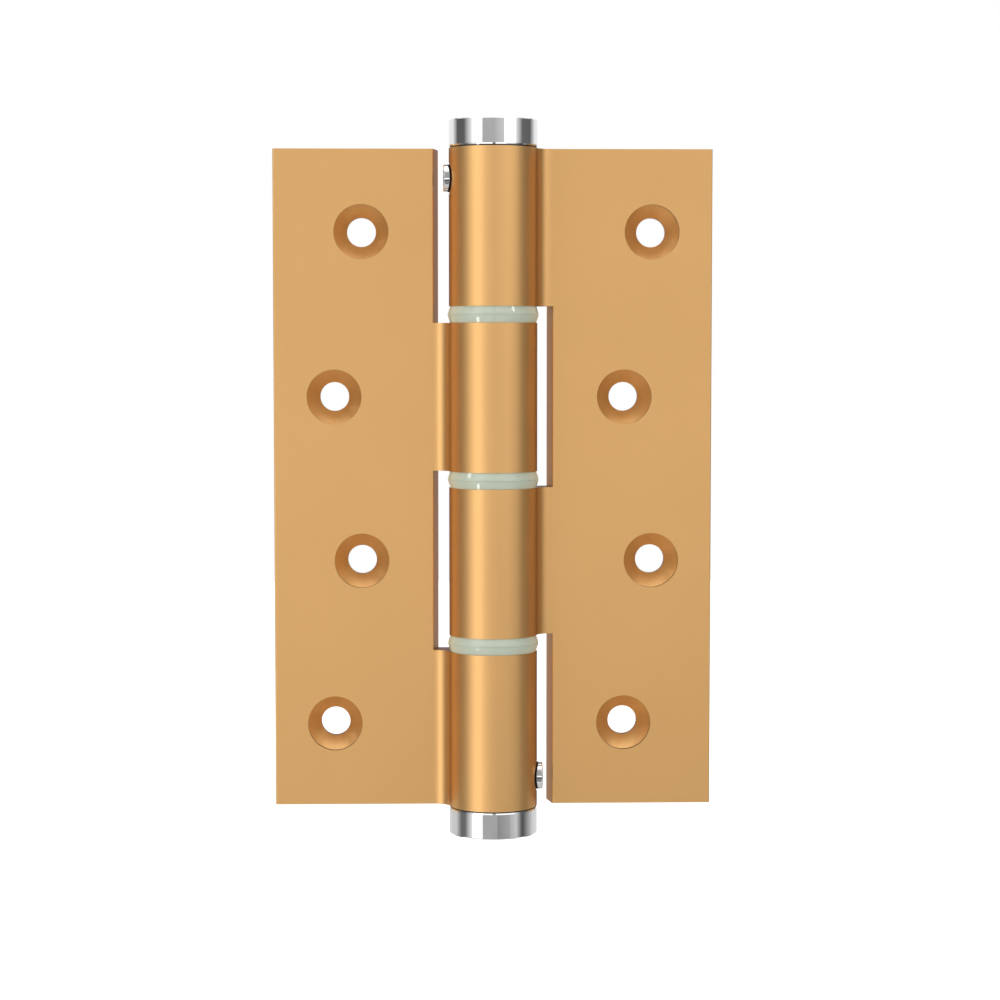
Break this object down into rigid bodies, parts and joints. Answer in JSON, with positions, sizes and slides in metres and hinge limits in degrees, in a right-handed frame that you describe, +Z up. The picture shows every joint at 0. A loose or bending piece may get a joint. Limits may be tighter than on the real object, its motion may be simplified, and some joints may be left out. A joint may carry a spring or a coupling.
{
  "type": "single action spring hinge",
  "caption": "Butt hinge with staggered countersunk holes whose barrel holds a torsion spring, nylon bushes and chromed tension caps.",
  "frame": {"origin": "on the hinge axis at half the height of the leaves", "axes": "+Z up along the hinge axis, leaves open flat along X, countersunk faces towards -Y"},
  "size_m": [0.08, 0.0166, 0.13],
  "materials": {
    "anodised_aluminium": "satin gold anodised",
    "chrome": "polished chrome plate",
    "nylon": "smooth off-white nylon",
    "steel": "drawn, lightly oiled",
    "black_washer": "matt black"
  },
  "bodies": {
    "left_side": {"left_leaf": "anodised_aluminium", "left_bush_upper": "nylon", "left_bush_middle": "nylon", "left_bush_lower": "nylon", "hinge_tube": "steel", "closing_spring": "steel", "bottom_washer": "black_washer"},
    "right_side": {"right_leaf": "anodised_aluminium", "right_bush_upper": "nylon", "right_bush_middle": "nylon", "right_bush_lower": "nylon", "top_washer": "black_washer"},
    "top_tension_cap": {"top_cap": "chrome"},
    "bottom_tension_cap": {"bottom_cap": "chrome"},
    "top_lock_screw": {"top_set_screw": "chrome"},
    "bottom_lock_screw": {"bottom_set_screw": "chrome"}
  },
  "joints": [
    {"name": "leaf_swing", "type": "hinge", "parent": "left_side", "child": "right_side", "pos_m": [0, 0, 0], "axis": [0, 0, -1], "range_deg": [0, 180], "stiffness_Nm_per_rad": 0.09, "deforming": ["closing_spring"]},
    {"name": "top_cap_turn", "type": "hinge", "parent": "right_side", "child": "top_tension_cap", "pos_m": [0, 0, 0.06], "axis": [0, 0, 1], "range_deg": [0, 360], "deforming": ["closing_spring"]},
    {"name": "bottom_cap_turn", "type": "hinge", "parent": "left_side", "child": "bottom_tension_cap", "pos_m": [0, 0, -0.06], "axis": [0, 0, -1], "range_deg": [0, 360], "deforming": ["closing_spring"]},
    {"name": "top_screw_travel", "type": "slide", "parent": "right_side", "child": "top_lock_screw", "axis": [-1, 0, 0], "range_m": [0, 0.0008]},
    {"name": "bottom_screw_travel", "type": "slide", "parent": "left_side", "child": "bottom_lock_screw", "axis": [1, 0, 0], "range_m": [0, 0.0008]}
  ]
}
